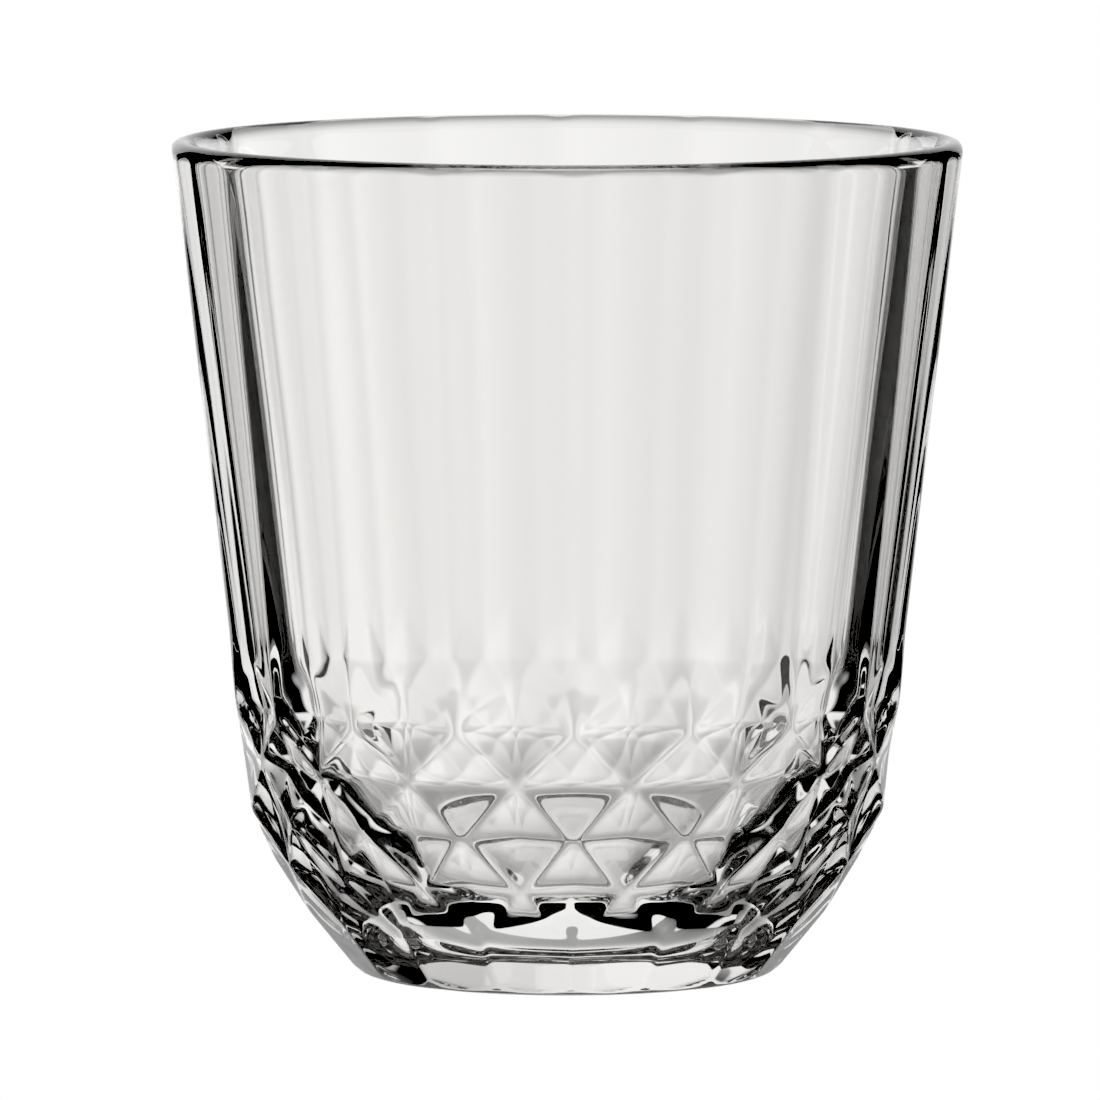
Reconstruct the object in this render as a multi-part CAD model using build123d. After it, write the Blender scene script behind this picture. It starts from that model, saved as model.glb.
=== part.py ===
"""Whiskey tumbler: one piece of pressed clear glass.

The upper wall has flat panels all the way round. The lower body carries a lattice of
diamonds with raised edges, each hollowed to a point in its middle, and ends in a plain
faceted band above the foot. The inside is round and smooth: a straight wall that turns
into a deep bowl with a flat floor.

Frame: the origin is the centre of the foot, on the plane that the glass stands on, and
+Z is up. One corner between two panels points along -Y. All sizes are in millimetres.
"""
import os
from math import atan, cos, degrees, pi, radians, sin, tan

from build123d import *

# Driving dimensions of the whole glass
HEIGHT = 90.5
PANEL_COUNT = 18
CORNER_RADIUS_AT_RIM = 43.4  # from the axis to a corner between two panels, at HEIGHT
CORNER_RADIUS_AT_LATTICE = 37.0  # the same, at LATTICE_TOP
LATTICE_TOP = 36.0  # where a diamond's top point touches the middle of a panel
ARCH = 1.5  # how much higher the lattice reaches on the corners

# Points of the lattice below the panels: (height, radius). The first row lies on the panel
# corners, and each further row is turned by half a panel.
LATTICE_ROWS = [(29.8, 36.5), (23.9, 35.15), (18.2, 34.8), (12.4, 31.9), (7.1, 28.5)]
HOLLOWS = [1.0, 0.0, 1.1, 0.5]  # how far a diamond's middle lies inside the line between its side points
LIFT = 0.3  # and how far above it
FOOT_CORNER_RADIUS = 22.7  # where the faceted band would meet the ground

# Rounded lip, an ellipse in section
LIP_WIDTH = 1.6  # its half axes
LIP_RISE = 2.2
LIP_OUTER_RADIUS = 43.25

# Foot: a narrow flat ring round a shallow recess
FOOT_RADIUS = 21.9
FOOT_ROUND = 1.0
FOOT_CONE_ANGLE = 40.0  # slope from the rounded edge up to the band, from the horizontal
RECESS_RADIUS = 20.5
RECESS_DEPTH = 0.25

# Inside
FLOOR_HEIGHT = 6.9
BOWL_WIDTH = 21.0  # half axes of the ellipse that turns the wall into the floor
BOWL_HEIGHT = 32.5
INNER_RADIUS_AT_BOWL = 32.9  # where the straight wall would reach the middle of the ellipse

CLEARANCE = 5.0  # how far the turned blank stands outside the panels
STEP = 2 * pi / PANEL_COUNT


def around(radius, height, position):
    """A point on the panel count's grid. Position 0 is the corner that points along -Y."""
    angle = position * STEP - pi / 2
    return Vector(radius * cos(angle), radius * sin(angle), height)


def flat_face(*points):
    return Face(Wire.make_polygon(points, close=True))


def ring(radius, height, offset=0.0):
    return [around(radius, height, i + offset) for i in range(PANEL_COUNT)]


def diamond(top, bottom, left, right, middle):
    """The four faces of one diamond, which meet in its hollow middle."""
    outline = [top, left, bottom, right]
    return [flat_face(middle, outline[n], outline[(n + 1) % 4]) for n in range(4)]


def faceted_body():
    """The outside of the glass as flat faces: panels, lattice and band."""
    chord = cos(STEP / 2)
    slope = (CORNER_RADIUS_AT_RIM - CORNER_RADIUS_AT_LATTICE) / (HEIGHT - LATTICE_TOP)
    rim = ring(CORNER_RADIUS_AT_RIM, HEIGHT)
    panel_corner = ring(CORNER_RADIUS_AT_LATTICE + slope * ARCH, LATTICE_TOP + ARCH)
    panel_foot = ring(CORNER_RADIUS_AT_LATTICE * chord, LATTICE_TOP, 0.5)
    rows = [ring(radius, height, 0.5 * (k % 2)) for k, (height, radius) in enumerate(LATTICE_ROWS)]
    ground = ring(FOOT_CORNER_RADIUS, 0)

    faces = [flat_face(*rim), flat_face(*ground)]
    for i in range(PANEL_COUNT):
        after = (i + 1) % PANEL_COUNT
        # the panel, and below it the two triangles that meet on each corner
        faces.append(flat_face(panel_corner[i], panel_foot[i], panel_corner[after], rim[after], rim[i]))
        faces.append(flat_face(panel_corner[i], rows[0][i], panel_foot[i]))
        faces.append(flat_face(panel_corner[after], panel_foot[i], rows[0][after]))
        for k, hollow in enumerate(HOLLOWS):
            height, radius = LATTICE_ROWS[k]
            turned = k % 2  # rows 1 and 3 start half a panel further round
            across = (i + turned) % PANEL_COUNT
            middle = around(radius * chord - hollow, height + LIFT, i + 0.5 + 0.5 * turned)
            top = rows[k - 1][across] if k else panel_foot[across]
            faces += diamond(top, rows[k + 1][across], rows[k][i], rows[k][after], middle)
        faces.append(flat_face(rows[-1][i], rows[-1][after], rows[-2][i]))
        faces.append(flat_face(rows[-1][i], ground[i], ground[after], rows[-1][after]))
    return Solid(Shell(faces))


def turned_blank():
    """The round shapes: recess and foot, lip, and the inside, with room around the panels."""
    lip_height = HEIGHT - LIP_RISE
    outside = CORNER_RADIUS_AT_RIM + CLEARANCE
    cone = radians(FOOT_CONE_ANGLE)
    round_end = (FOOT_RADIUS + FOOT_ROUND * sin(cone), FOOT_ROUND * (1 - cos(cone)))
    cone_top = round_end[1] + (outside - round_end[0]) * tan(cone)
    outer_lip = (LIP_OUTER_RADIUS, lip_height)
    inner_lip = (LIP_OUTER_RADIUS - 2 * LIP_WIDTH, lip_height)
    lip_middle = (LIP_OUTER_RADIUS - LIP_WIDTH, lip_height)

    # the ellipse starts where its slope is the wall's
    bowl_middle = FLOOR_HEIGHT + BOWL_HEIGHT
    wall_slope = (inner_lip[0] - INNER_RADIUS_AT_BOWL) / (lip_height - bowl_middle)
    start = atan(wall_slope * BOWL_HEIGHT / BOWL_WIDTH)
    bowl_start_height = bowl_middle - BOWL_HEIGHT * sin(start)
    bowl_start = (inner_lip[0] - wall_slope * (lip_height - bowl_start_height), bowl_start_height)
    floor_radius = bowl_start[0] - BOWL_WIDTH * cos(start)

    with BuildSketch(Plane.XZ) as outline:
        with BuildLine():
            TangentArc((0, RECESS_DEPTH), (RECESS_RADIUS, 0), tangent=(1, 0))
            Line((RECESS_RADIUS, 0), (FOOT_RADIUS, 0))
            TangentArc((FOOT_RADIUS, 0), round_end, tangent=(1, 0))
            Polyline(round_end, (outside, cone_top), (outside, lip_height), outer_lip)
            EllipticalCenterArc(lip_middle, LIP_WIDTH, LIP_RISE, start_angle=0, arc_size=180)
            Line(inner_lip, bowl_start)
            EllipticalCenterArc(
                (floor_radius, bowl_middle),
                BOWL_WIDTH,
                BOWL_HEIGHT,
                start_angle=-90,
                arc_size=90 - degrees(start),
            )
            Polyline((floor_radius, FLOOR_HEIGHT), (0, FLOOR_HEIGHT), (0, RECESS_DEPTH))
        make_face()
    return revolve(outline.sketch, Axis.Z)


def tumbler_glass():
    return (faceted_body() & turned_blank()).solid()


os.makedirs("parts", exist_ok=True)
glass = tumbler_glass()
glass.label = "tumbler_glass"
export_step(glass, "parts/tumbler_glass.step")
print("glass volume, ml:", round(glass.volume / 1000, 1))
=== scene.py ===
"""Looks of the whiskey tumbler: clear pressed glass on a pale floor in a white studio.

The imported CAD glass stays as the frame. A finer glass body with softened edges stands for
it. The light comes from a white backdrop with dark on both sides, which is what draws the
dark lines in clear glass. Lengths are in metres unless a heading says millimetres.
"""
from math import atan, cos, pi, radians, sin, tan

import bpy
import numpy as np
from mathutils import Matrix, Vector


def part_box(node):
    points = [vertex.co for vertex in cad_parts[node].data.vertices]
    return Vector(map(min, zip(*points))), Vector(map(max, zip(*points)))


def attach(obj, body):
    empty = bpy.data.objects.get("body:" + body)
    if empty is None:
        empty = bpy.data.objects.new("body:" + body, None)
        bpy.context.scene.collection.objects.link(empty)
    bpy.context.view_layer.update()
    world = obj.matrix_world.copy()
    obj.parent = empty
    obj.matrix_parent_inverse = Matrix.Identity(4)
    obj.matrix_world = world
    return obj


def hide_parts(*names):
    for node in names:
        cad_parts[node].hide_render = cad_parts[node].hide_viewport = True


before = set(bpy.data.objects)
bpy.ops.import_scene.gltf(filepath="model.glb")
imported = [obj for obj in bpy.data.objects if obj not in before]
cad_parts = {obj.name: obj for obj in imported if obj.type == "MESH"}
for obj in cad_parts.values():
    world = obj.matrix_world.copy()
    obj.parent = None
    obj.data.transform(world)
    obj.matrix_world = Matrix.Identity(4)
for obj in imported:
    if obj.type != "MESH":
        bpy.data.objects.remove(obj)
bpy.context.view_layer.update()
MM = 0.001

# ---------------------------------------------------------------- the glass, in millimetres
# The same driving dimensions as the part's source.
node_low, node_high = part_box("tumbler_glass")
HEIGHT = node_high.z / MM
PANEL_COUNT = 18
CORNER_RADIUS_AT_RIM = 43.4
CORNER_RADIUS_AT_LATTICE = 37.0
LATTICE_TOP = 36.0
ARCH = 1.5  # how much higher the lattice reaches on the corners
LATTICE_ROWS = [(29.8, 36.5), (23.9, 35.15), (18.2, 34.8), (12.4, 31.9), (7.1, 28.5)]  # height, radius
HOLLOWS = [1.0, 0.0, 1.1, 0.5]  # how far inside the line between its side points a diamond's middle is
LIFT = 0.3  # and how far above it
FOOT_CORNER_RADIUS = 22.7
LIP_WIDTH = 1.6  # half axes of the lip's elliptical section
LIP_RISE = 2.2
LIP_OUTER_RADIUS = 43.25
FOOT_RADIUS = 21.9
FOOT_ROUND = 1.0
FOOT_CONE_ANGLE = 40.0
RECESS_RADIUS = 20.5
RECESS_DEPTH = 0.25
FLOOR_HEIGHT = 6.9
BOWL_WIDTH = 21.0  # half axes of the ellipse that turns the inside wall into the floor
BOWL_HEIGHT = 32.5
INNER_RADIUS_AT_BOWL = 32.9

# Slight waves in the inside wall
RIPPLE = 0.02  # height of the first wave
RIPPLE_WAVES = [  # crests round the glass, turn for each millimetre of height, phase, strength
    (5, 0.05, 0.0, 1.0),
    (11, -0.09, 1.3, 0.7),
    (17, 0.13, 4.0, 0.5),
]
RIPPLE_FADE = 6.0  # how quickly they grow away from the lip and from the floor

# ---------------------------------------------------------------- how fine the mesh is
FINE = 14  # mesh columns to half a panel, and mesh rows to a row of the lattice
HALF_PANELS = 2 * PANEL_COUNT
HALF_STEP = pi / PANEL_COUNT
COLUMNS = HALF_PANELS * FINE
# Stretches of mesh rows: start, end, number of rows. The rows are close at the lip, just above
# the lattice and at the foot. The panels' are in millimetres below the rim, and the band's are
# in parts of its height.
PANEL_LENGTH = HEIGHT - LATTICE_TOP
LIP_END = 1.5 * LIP_RISE
WALL_FOOT = PANEL_LENGTH - 2.0
PANEL_STRETCHES = [(0, LIP_END, 18), (LIP_END, WALL_FOOT, 9), (WALL_FOOT, PANEL_LENGTH, 5)]
BAND_STRETCHES = [(0, 0.2, 5), (0.2, 0.75, 5), (0.75, 1, 8)]
LIP_STEPS = 8
INSIDE_WALL_STEPS = 13
BOWL_STEPS = 21
RECESS_STEPS = 7
# Passes that round the edges, as fire polishing does
LATTICE_SOFTENING = 2
WALL_SOFTENING = 10
SOFT_ROWS_ABOVE = 4  # mesh rows beyond the lattice that are rounded downwards with it
SOFT_ROWS_BELOW = 3


def around(radius, height, half_panel):
    """A point of the outside. Half-panel 0 is the corner that points along -Y."""
    angle = half_panel * HALF_STEP - pi / 2
    return radius * cos(angle), radius * sin(angle), height


def level(corner, middle):
    """Points round the glass by half-panels: (height, radius) on corners and on panel middles."""
    points = []
    for i in range(HALF_PANELS):
        height, radius = middle if i % 2 else corner
        points.append(around(radius, height, i))
    return np.array(points)


def lattice_levels():
    """The lattice's levels from the top down: points on its ridges, with hollow middles between."""
    chord = cos(HALF_STEP)
    slope = (CORNER_RADIUS_AT_RIM - CORNER_RADIUS_AT_LATTICE) / PANEL_LENGTH
    corner = (LATTICE_TOP + ARCH, CORNER_RADIUS_AT_LATTICE + slope * ARCH)
    levels = [level(corner, (LATTICE_TOP, CORNER_RADIUS_AT_LATTICE * chord))]
    for k, (height, radius) in enumerate(LATTICE_ROWS):
        point = (height, radius)
        middle = (height, radius * chord)
        if k < len(HOLLOWS):
            middle = (height + LIFT, radius * chord - HOLLOWS[k])
        levels.append(level(point, middle) if k % 2 == 0 else level(middle, point))
    return levels


def row_between(upper, lower, t, ridge_starts=None):
    """One mesh row at the fraction t of the way down from one level to the next.

    In the lattice each square between two levels is folded along a ridge. ridge_starts says
    whether the ridges that fall to the right leave the upper level at its even or its odd
    points. Elsewhere the squares are plain."""
    across = np.arange(FINE) / FINE
    back = 1 - across
    row = []
    for i in range(HALF_PANELS):
        j = (i + 1) % HALF_PANELS
        if ridge_starts is None:
            weights = (back * (1 - t), across * (1 - t), back * t, across * t)
        elif i % 2 == ridge_starts:
            weights = (
                1 - np.maximum(across, t),
                np.maximum(across - t, 0),
                np.maximum(t - across, 0),
                np.minimum(across, t),
            )
        else:
            weights = (
                np.maximum(back - t, 0),
                1 - np.maximum(back, t),
                np.minimum(back, t),
                np.maximum(t - back, 0),
            )
        corners = upper[i], upper[j], lower[i], lower[j]
        row.append(sum(np.outer(w, c) for w, c in zip(weights, corners)))
    return np.concatenate(row)


def spread(stretches):
    """Where the mesh rows of (start, end, number of rows) stretches lie, without the last end."""
    return np.concatenate([np.linspace(*stretch, endpoint=False) for stretch in stretches])


def outside_rows():
    """Mesh rows of the outside from the lip down to the ground, and how each row is folded."""
    chord = cos(HALF_STEP)
    rim = level((HEIGHT, CORNER_RADIUS_AT_RIM), (HEIGHT, CORNER_RADIUS_AT_RIM * chord))
    ground = level((0, FOOT_CORNER_RADIUS), (0, FOOT_CORNER_RADIUS * chord))
    levels = lattice_levels()
    rows, folds = [], []
    for drop in spread(PANEL_STRETCHES):
        rows.append(row_between(rim, levels[0], drop / PANEL_LENGTH))
        folds.append(None)
    for k in range(len(levels) - 1):
        starts = (k + 1) % 2
        for j in range(FINE):
            rows.append(row_between(levels[k], levels[k + 1], j / FINE, starts))
            folds.append(starts)
    for t in [*spread(BAND_STRETCHES), 1.0]:
        rows.append(row_between(levels[-1], ground, t))
        folds.append(None)
    return np.array(rows), folds


def softened(rows, lattice_start, lattice_end):
    """Rounds the edges across the columns, more so on the wall, and downwards too in the lattice."""
    rows = rows.copy()
    numbers = np.arange(len(rows))
    wall = np.interp(numbers, [lattice_start, lattice_start + FINE // 2], [1, 0])[:, None, None]
    start = lattice_start - SOFT_ROWS_ABOVE
    end = lattice_end + SOFT_ROWS_BELOW
    for n in range(WALL_SOFTENING):
        smooth = (np.roll(rows, 1, axis=1) + 2 * rows + np.roll(rows, -1, axis=1)) / 4
        rows += (smooth - rows) * (1 if n < LATTICE_SOFTENING else wall)
        if n < LATTICE_SOFTENING:
            above = rows[start - 1:end - 1]
            below = rows[start + 1:end + 1]
            rows[start:end] = (above + 2 * rows[start:end] + below) / 4
    return rows


def turned(rows):
    """Cuts the outside back to the round lip and foot."""
    radius = np.hypot(rows[..., 0], rows[..., 1])
    height = rows[..., 2]
    up_the_lip = np.clip((height - (HEIGHT - LIP_RISE)) / LIP_RISE, 0, 1)
    lip = LIP_OUTER_RADIUS - LIP_WIDTH + LIP_WIDTH * np.sqrt(1 - up_the_lip**2)
    lip = np.where(up_the_lip > 0, lip, np.inf)
    cone = radians(FOOT_CONE_ANGLE)
    round_top = FOOT_ROUND * (1 - cos(cone))
    below = np.clip(FOOT_ROUND - height, 0, FOOT_ROUND)
    foot = np.where(
        height < round_top,
        FOOT_RADIUS + np.sqrt(FOOT_ROUND**2 - below**2),
        FOOT_RADIUS + FOOT_ROUND * sin(cone) + (height - round_top) / tan(cone),
    )
    keep = np.minimum(np.minimum(lip, foot) / radius, 1)
    rows = rows.copy()
    rows[..., 0] *= keep
    rows[..., 1] *= keep
    return rows


def inside_profile():
    """(radius, height) down the inside, from just inside the lip's top to the floor."""
    lip_height = HEIGHT - LIP_RISE
    lip_middle = LIP_OUTER_RADIUS - LIP_WIDTH
    profile = []
    for angle in np.linspace(pi / 2, 0, LIP_STEPS + 1)[1:]:
        profile.append((lip_middle - LIP_WIDTH * cos(angle), lip_height + LIP_RISE * sin(angle)))

    # the ellipse starts where its slope is the wall's
    top_radius = lip_middle - LIP_WIDTH
    bowl_middle = FLOOR_HEIGHT + BOWL_HEIGHT
    slope = (top_radius - INNER_RADIUS_AT_BOWL) / (lip_height - bowl_middle)
    start = atan(slope * BOWL_HEIGHT / BOWL_WIDTH)
    start_height = bowl_middle - BOWL_HEIGHT * sin(start)
    start_radius = top_radius + slope * (start_height - lip_height)
    flat_radius = start_radius - BOWL_WIDTH * cos(start)
    for t in np.linspace(0, 1, INSIDE_WALL_STEPS + 1)[1:-1]:
        radius = top_radius + t * (start_radius - top_radius)
        profile.append((radius, lip_height + t * (start_height - lip_height)))
    for angle in np.linspace(start, pi / 2, BOWL_STEPS + 1):
        radius = flat_radius + BOWL_WIDTH * cos(angle)
        profile.append((radius, bowl_middle - BOWL_HEIGHT * sin(angle)))
    profile.append((flat_radius / 2, FLOOR_HEIGHT))
    return profile


def ripple(angle, height):
    """The waves that a pressing plunger leaves in the inside wall. None at the lip and floor."""
    climb = (height - FLOOR_HEIGHT) / (HEIGHT - LIP_RISE - FLOOR_HEIGHT)
    fade = np.clip(RIPPLE_FADE * climb * (1 - climb), 0, 1)
    waves = 0
    for crests, turn, phase, strength in RIPPLE_WAVES:
        waves = waves + strength * np.sin(crests * angle + turn * height + phase)
    return RIPPLE * fade * waves


def underside_profile():
    """(radius, height) in from the foot's ring across the shallow recess."""
    profile = [(RECESS_RADIUS, 0)]
    for t in np.linspace(1, 0, RECESS_STEPS + 1)[1:-1]:
        profile.append((RECESS_RADIUS * t, RECESS_DEPTH * (1 - t * t)))
    return profile


def faces_below(row, fold):
    """Faces from one mesh row to the next. In the lattice each is split along its ridge."""
    here = np.arange(COLUMNS)
    after = (here + 1) % COLUMNS
    upper, upper_next = row * COLUMNS + here, row * COLUMNS + after
    lower, lower_next = upper + COLUMNS, upper_next + COLUMNS
    squares = np.column_stack([upper, lower, lower_next, upper_next]).tolist()
    if fold is None:
        return squares
    falls_right = (here // FINE) % 2 == fold
    faces = []
    for (a, b, c, d), falls in zip(squares, falls_right):
        faces += [(a, b, c), (a, c, d)] if falls else [(a, b, d), (d, b, c)]
    return faces


def glass_mesh():
    """The whole glass: inside from the floor up, outside down to the foot, and underside."""
    outside, folds = outside_rows()
    lattice_start = len(spread(PANEL_STRETCHES))
    lattice_end = lattice_start + FINE * len(LATTICE_ROWS)
    outside = turned(softened(outside, lattice_start, lattice_end))
    angles = np.arange(COLUMNS) / FINE * HALF_STEP - pi / 2
    turn = np.column_stack([np.cos(angles), np.sin(angles)])

    def turned_row(radius, height):
        radius = np.broadcast_to(radius, COLUMNS)
        return np.column_stack([radius[:, None] * turn, np.full(COLUMNS, height)])

    inside = []
    for radius, height in reversed(inside_profile()):
        inside.append(turned_row(radius + ripple(angles, height), height))
    underside = [turned_row(*point) for point in underside_profile()]
    rows = inside + list(outside) + underside
    folds = [None] * len(inside) + folds + [None] * len(underside)
    middles = np.array([(0, 0, FLOOR_HEIGHT), (0, 0, RECESS_DEPTH)])
    points = np.concatenate(rows + [middles]) * MM

    faces = []
    last = len(rows) - 1
    for row in range(last):
        faces += faces_below(row, folds[row])
    floor_middle = len(rows) * COLUMNS
    recess_middle = floor_middle + 1
    here = np.arange(COLUMNS)
    after = (here + 1) % COLUMNS
    faces += [(n, floor_middle, h) for h, n in zip(here.tolist(), after.tolist())]
    here, after = here + last * COLUMNS, after + last * COLUMNS
    faces += [(h, recess_middle, n) for h, n in zip(here.tolist(), after.tolist())]

    mesh = bpy.data.meshes.new("tumbler_body")
    mesh.from_pydata(points.tolist(), [], faces)
    mesh.validate()
    mesh.shade_smooth()
    return mesh


# ---------------------------------------------------------------- materials
GLASS_IOR = 1.5
TINT = [(0.985, 0.978, 0.968, 1), (0.998, 0.994, 0.987, 1)]  # the colour varies between these
TINT_SCALE = 25.0  # sizes of the noises: larger is finer
POLISH_SCALE = 90.0
WAVE_SCALE = 110.0
POLISH_RANGE = (0.35, 0.75)  # the part of the noise over which the polish gets worse
HAZE = 0.006  # roughness of the least polished patches
SKIN_WAVES = 0.003  # depth of the small waves in the skin, in millimetres
ABSORPTION = 4.0  # per metre of glass, for the half of the light that it can take
ABSORBED_COLOR = (0.52, 0.50, 0.47, 1)  # what it leaves: it greys the long ways through the base
WHITE = (1, 1, 1, 1)


def fill_in(tree, socket, value):
    """Gives an input a plain value, or links another node's output to it."""
    if isinstance(value, bpy.types.NodeSocket):
        tree.links.new(value, socket)
    else:
        socket.default_value = value


def add(tree, kind, **inputs):
    """A new node. Keyword names are input names with _ for a space."""
    node = tree.nodes.new(kind)
    for name, value in inputs.items():
        fill_in(tree, node.inputs[name.replace("_", " ")], value)
    return node


def maths(tree, operation, *values):
    """A Math node's result. The third value and any later ones are taken in one after another."""
    node = tree.nodes.new("ShaderNodeMath")
    node.operation = operation
    for socket, value in zip(node.inputs, values[:2]):
        fill_in(tree, socket, value)
    result = node.outputs[0]
    if len(values) > 2:
        return maths(tree, operation, result, *values[2:])
    return result


def clear_glass():
    """Fire-polished soda-lime glass: a trace of warm grey, faint waves, a few less polished patches."""
    material = bpy.data.materials.new("clear_glass")
    material.use_nodes = True
    tree = material.node_tree
    shader = tree.nodes["Principled BSDF"]
    shader.inputs["Transmission Weight"].default_value = 1.0
    shader.inputs["IOR"].default_value = GLASS_IOR
    place = tree.nodes.new("ShaderNodeTexCoord").outputs["Object"]

    cloud = add(tree, "ShaderNodeTexNoise", Vector=place, Scale=TINT_SCALE, Detail=2.0)
    tint = add(tree, "ShaderNodeValToRGB", Fac=cloud.outputs["Fac"])
    for element, color in zip(tint.color_ramp.elements, TINT):
        element.color = color
    tree.links.new(tint.outputs["Color"], shader.inputs["Base Color"])

    patches = add(tree, "ShaderNodeTexNoise", Vector=place, Scale=POLISH_SCALE, Detail=3.0)
    polish = add(tree, "ShaderNodeMapRange", Value=patches.outputs["Fac"],
                 From_Min=POLISH_RANGE[0], From_Max=POLISH_RANGE[1], To_Min=0.0, To_Max=HAZE)
    tree.links.new(polish.outputs["Result"], shader.inputs["Roughness"])

    waves = add(tree, "ShaderNodeTexNoise", Vector=place, Scale=WAVE_SCALE, Detail=1.5)
    bump = add(tree, "ShaderNodeBump", Height=waves.outputs["Fac"],
               Strength=1.0, Distance=SKIN_WAVES * MM)
    tree.links.new(bump.outputs["Normal"], shader.inputs["Normal"])

    dimming = add(tree, "ShaderNodeVolumeAbsorption", Color=ABSORBED_COLOR, Density=ABSORPTION)
    tree.links.new(dimming.outputs["Volume"], tree.nodes["Material Output"].inputs["Volume"])
    return material


def floor_material():
    material = bpy.data.materials.new("studio_floor")
    material.use_nodes = True
    tree = material.node_tree
    tree.nodes.remove(tree.nodes["Principled BSDF"])
    glow = add(tree, "ShaderNodeEmission", Color=WHITE, Strength=1.0)
    tree.links.new(glow.outputs[0], tree.nodes["Material Output"].inputs["Surface"])
    return material


# ---------------------------------------------------------------- studio
# Directions and widths are in degrees: azimuth from +Y towards +X, and elevation above the
# horizon. The backdrop stands behind the glass. Its (direction, level) stops fall off to the
# right and towards the ground.
BACKDROP = (-31.0, 29.5, -95.0, 45.0)  # left, right, bottom, top
SIDE_SOFTNESS = 3  # widths over which its edges fade out
BOTTOM_SOFTNESS = 6
TOP_SOFTNESS = 8
ACROSS = [
    (-60, 1.05), (-12, 1.05), (-3, 0.95), (8, 0.89),
    (18, 0.78), (25, 0.62), (30, 0.44), (60, 0.30),
]
UPWARD = [
    (-90, 0.42), (-65, 0.52), (-50, 0.48), (-38, 0.44), (-28, 0.54),
    (-19, 0.83), (-12, 1.00), (10, 1.00), (50, 0.60),
]
# The rest of the room is bright only for light that goes straight through both walls and doesn't
# bounce inside them. So the glass is clear from every side, and its edges stay dark.
FILL = 0.95
FILL_SIDES = 62.0  # it starts at this azimuth to either side, and reaches round behind the camera
SIDES_SOFTNESS = 6
FILL_GROUND = (-33.0, -23.0)  # between these elevations it fills the gap to the backdrop
FILL_STEEP = -50.0  # and below this one it covers the backdrop too, for a look from above
GROUND_SOFTNESS = 4
RAY_DEPTH = 5  # the four surfaces of two walls, and the camera's own ray
CEILING = 0.12
CEILING_EDGE = 15
CEILING_SOFTNESS = 30
DARK_WALLS = 0.005
BLACK_POINT = 0.035  # light up to this level shows as black, which deepens the darks


def soft_step(tree, value, edge, width):
    """0 below the edge and 1 above it, over the given width."""
    node = add(tree, "ShaderNodeMapRange", Value=value,
               From_Min=edge - width / 2, From_Max=edge + width / 2)
    node.interpolation_type = "SMOOTHSTEP"
    return node.outputs["Result"]


def without(tree, value):
    """1 where the value is 0, and 0 where it is 1."""
    return maths(tree, "SUBTRACT", 1.0, value)


def strength_by(tree, value, stops):
    """A strength that follows the value through (value, strength) stops."""
    first, last = stops[0][0], stops[-1][0]
    place = maths(tree, "DIVIDE", maths(tree, "SUBTRACT", value, first), last - first)
    node = add(tree, "ShaderNodeValToRGB", Fac=place)
    elements = node.color_ramp.elements
    while len(elements) < len(stops):
        elements.new(0.5)
    for element, (at, strength) in zip(elements, stops):
        element.position = (at - first) / (last - first)
        element.color = (strength, strength, strength, 1)
    return node.outputs["Color"]


def patch(tree, azimuth, elevation, left, right, bottom, top):
    """1 between two azimuths and two elevations, with soft edges."""
    past_left = soft_step(tree, azimuth, left, SIDE_SOFTNESS)
    past_right = soft_step(tree, azimuth, right, SIDE_SOFTNESS)
    above_bottom = soft_step(tree, elevation, bottom, BOTTOM_SOFTNESS)
    above_top = soft_step(tree, elevation, top, TOP_SOFTNESS)
    outside = maths(tree, "MAXIMUM", past_right, above_top)
    return maths(tree, "MULTIPLY", past_left, above_bottom, without(tree, outside))


def studio():
    """Light by direction. Seen past the glass, everything is white."""
    world = bpy.data.worlds.new("studio")
    bpy.context.scene.world = world
    world.use_nodes = True
    tree = world.node_tree
    direction = tree.nodes.new("ShaderNodeTexCoord").outputs["Generated"]
    parts = add(tree, "ShaderNodeSeparateXYZ", Vector=direction).outputs
    azimuth = maths(tree, "DEGREES", maths(tree, "ARCTAN2", parts["X"], parts["Y"]))
    elevation = maths(tree, "DEGREES", maths(tree, "ARCSINE", parts["Z"]))
    path = tree.nodes.new("ShaderNodeLightPath").outputs

    in_front = patch(tree, azimuth, elevation, *BACKDROP)
    across = strength_by(tree, azimuth, ACROSS)
    upward = strength_by(tree, elevation, UPWARD)
    backdrop = maths(tree, "MULTIPLY", across, upward, in_front)

    # the fill and the ceiling show only through the glass, and leave its outside dark
    straight = maths(tree, "LESS_THAN", path["Ray Depth"], RAY_DEPTH + 0.5)
    sides = soft_step(tree, maths(tree, "ABSOLUTE", azimuth), FILL_SIDES, SIDES_SOFTNESS)
    low, high = (soft_step(tree, elevation, edge, GROUND_SOFTNESS) for edge in FILL_GROUND)
    ground = maths(tree, "SUBTRACT", low, high)
    steep = without(tree, soft_step(tree, elevation, FILL_STEEP, GROUND_SOFTNESS))
    fill = maths(tree, "MULTIPLY", FILL, straight, maths(tree, "MAXIMUM", sides, ground))
    ceiling_edge = soft_step(tree, elevation, CEILING_EDGE, CEILING_SOFTNESS)
    ceiling = maths(tree, "MULTIPLY", CEILING, ceiling_edge)
    room = maths(tree, "MULTIPLY", maths(tree, "MAXIMUM", fill, ceiling), without(tree, in_front))
    from_above = maths(tree, "MULTIPLY", FILL, straight, steep, in_front)
    through = maths(tree, "MAXIMUM", room, from_above)
    through = maths(tree, "MULTIPLY", through, path["Is Transmission Ray"])

    light = maths(tree, "ADD", maths(tree, "MAXIMUM", backdrop, through), DARK_WALLS)
    light = maths(tree, "MAXIMUM", light, path["Is Camera Ray"])
    background = tree.nodes["Background"]
    background.inputs["Color"].default_value = WHITE
    tree.links.new(light, background.inputs["Strength"])


FLOOR_SIZE = 6.0  # from the middle to an edge
FLOOR_GAP = 0.05 * MM  # below the foot


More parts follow.
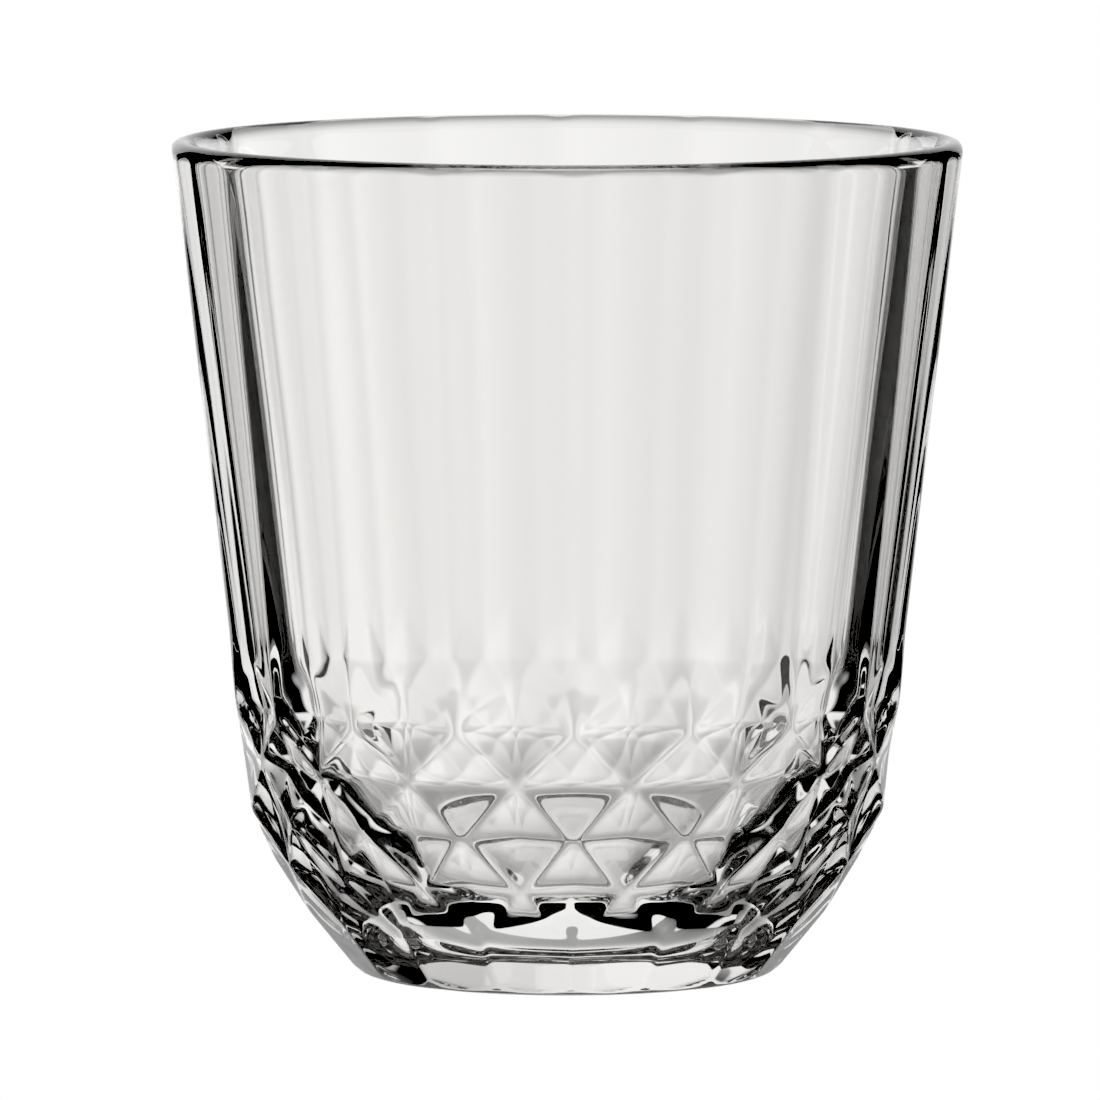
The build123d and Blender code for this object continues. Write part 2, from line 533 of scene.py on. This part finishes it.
def floor():
    """A pale floor that only the camera sees. The glass gets its light from the studio."""
    size = FLOOR_SIZE
    corners = [(-size, -size, 0), (size, -size, 0), (size, size, 0), (-size, size, 0)]
    mesh = bpy.data.meshes.new("floor")
    mesh.from_pydata(corners, [], [(0, 1, 2, 3)])
    mesh.materials.append(floor_material())
    piece = bpy.data.objects.new("floor", mesh)
    piece.location.z = node_low.z - FLOOR_GAP
    bpy.context.scene.collection.objects.link(piece)
    for ray in ("diffuse", "glossy", "transmission", "volume_scatter", "shadow"):
        setattr(piece, "visible_" + ray, False)


# ---------------------------------------------------------------- camera
CAMERA_DISTANCE = 1.400  # from the glass's axis
CAMERA_HEIGHT = 0.1831
CAMERA_TURN = radians(1.12)  # round the glass, from -Y towards -X
CAMERA_PITCH = radians(5.60)  # downwards
CAMERA_AIM = radians(0.074)  # past the axis, to the left
SENSOR_WIDTH = 36  # millimetres, as the lens is
LENS = 424.342
CLIP_RANGE = (0.1, 20)


def camera():
    """A little above the glass, from far away with a long lens."""
    data = bpy.data.cameras.new("camera")
    piece = bpy.data.objects.new("camera", data)
    bpy.context.scene.collection.objects.link(piece)
    data.sensor_width = SENSOR_WIDTH
    data.lens = LENS
    data.clip_start, data.clip_end = CLIP_RANGE
    x = -CAMERA_DISTANCE * sin(CAMERA_TURN)
    y = -CAMERA_DISTANCE * cos(CAMERA_TURN)
    piece.location = (x, y, CAMERA_HEIGHT)
    piece.rotation_euler = (pi / 2 - CAMERA_PITCH, 0, CAMERA_AIM - CAMERA_TURN)
    bpy.context.scene.camera = piece


body = bpy.data.objects.new("tumbler_body", glass_mesh())
bpy.context.scene.collection.objects.link(body)
body.data.materials.append(clear_glass())
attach(body, "root")
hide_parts("tumbler_glass")

floor()
studio()
camera()

scene = bpy.context.scene
scene.view_settings.view_transform = "Standard"
scene.view_settings.use_curve_mapping = True
scene.view_settings.curve_mapping.black_level = (BLACK_POINT, BLACK_POINT, BLACK_POINT)
scene.view_settings.curve_mapping.update()
# light bounces many times in the lattice and the base
scene.cycles.max_bounces = 32
scene.cycles.transmission_bounces = 32
scene.cycles.glossy_bounces = 16
